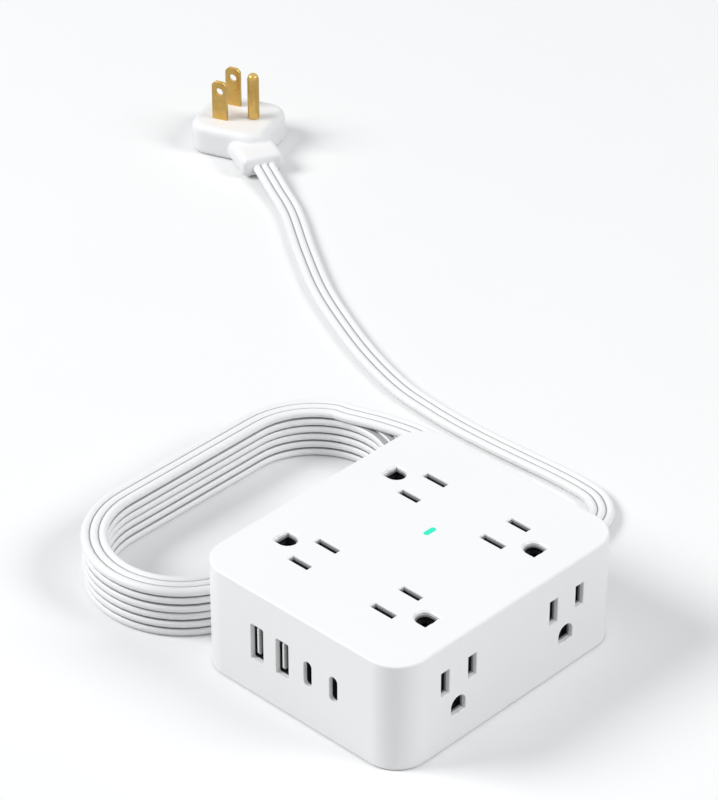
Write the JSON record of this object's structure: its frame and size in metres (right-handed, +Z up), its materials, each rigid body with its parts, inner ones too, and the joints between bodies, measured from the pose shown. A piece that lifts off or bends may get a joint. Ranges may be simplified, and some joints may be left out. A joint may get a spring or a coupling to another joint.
{
  "type": "surge protector",
  "caption": "Tabletop surge protector block with outlets on its top and sides, USB ports in front, a reset button, and a coiled flat cord with a flat plug.",
  "frame": {"origin": "middle of the housing's underside, on the surface that its feet stand on", "axes": "+X along the USB face to its right-hand end, +Y from the USB face to the rear, +Z up"},
  "size_m": [0.3437, 0.2743, 0.0416],
  "materials": {
    "housing_plastic": "fine matte moulded texture",
    "carrier_plastic": "moulded",
    "black_plastic": "moulded",
    "foot_rubber": "moulded",
    "lens": "clear tinted light pipe",
    "steel": "nickel plated",
    "contact_brass": "stamped strip",
    "blade_metal": "stamped, polished",
    "board": "solder mask on glass epoxy",
    "ferrite": "sintered",
    "winding": "tape over copper wire",
    "capacitor_sleeve": "shrink sleeve",
    "varistor_coating": "dipped epoxy",
    "film_yellow": "moulded case",
    "wire_insulation": "extruded",
    "cord_jacket": "extruded soft vinyl"
  },
  "bodies": {
    "housing": {"top_housing": "housing_plastic", "base_cover": "housing_plastic", "housing_screws": "steel", "rubber_feet": "foot_rubber", "indicator_lens": "lens", "top_contact_carrier": "carrier_plastic", "left_contact_carrier": "carrier_plastic", "right_contact_carrier": "carrier_plastic", "top_line_bus": "contact_brass", "top_neutral_bus": "contact_brass", "top_ground_bus": "contact_brass", "left_line_bus": "contact_brass", "left_neutral_bus": "contact_brass", "left_ground_bus": "contact_brass", "right_line_bus": "contact_brass", "right_neutral_bus": "contact_brass", "right_ground_bus": "contact_brass", "link_wires": "wire_insulation", "usb_board": "board", "usb_a_shells": "steel", "usb_a_cores": "housing_plastic", "usb_a_contacts": "contact_brass", "usb_c_shells": "steel", "usb_c_cores": "black_plastic", "usb_transformer_core": "ferrite", "usb_transformer_winding": "winding", "usb_capacitors": "capacitor_sleeve", "usb_controller": "black_plastic", "surge_board": "board", "varistors": "varistor_coating", "thermal_fuse": "housing_plastic", "film_capacitor": "film_yellow", "indicator_led": "lens", "board_screws": "steel", "breaker_body": "black_plastic", "breaker_terminals": "contact_brass", "reset_spring": "steel", "line_wire": "wire_insulation", "neutral_wire": "wire_insulation", "ground_wire": "wire_insulation", "cord_clamp": "black_plastic", "clamp_screws": "steel", "strain_relief": "cord_jacket", "cord_lead_in": "cord_jacket", "cord_coil": "cord_jacket", "cord_run": "cord_jacket", "plug_body": "cord_jacket", "line_blade": "blade_metal", "neutral_blade": "blade_metal", "ground_pin": "blade_metal"},
    "reset_button": {"reset_button": "black_plastic"}
  },
  "joints": [
    {"name": "reset_press", "type": "slide", "parent": "housing", "child": "reset_button", "axis": [0, -1, 0], "range_m": [0, 0.002], "stiffness_N_per_m": 300, "springref_m": -0.002, "deforming": ["reset_spring"]}
  ]
}
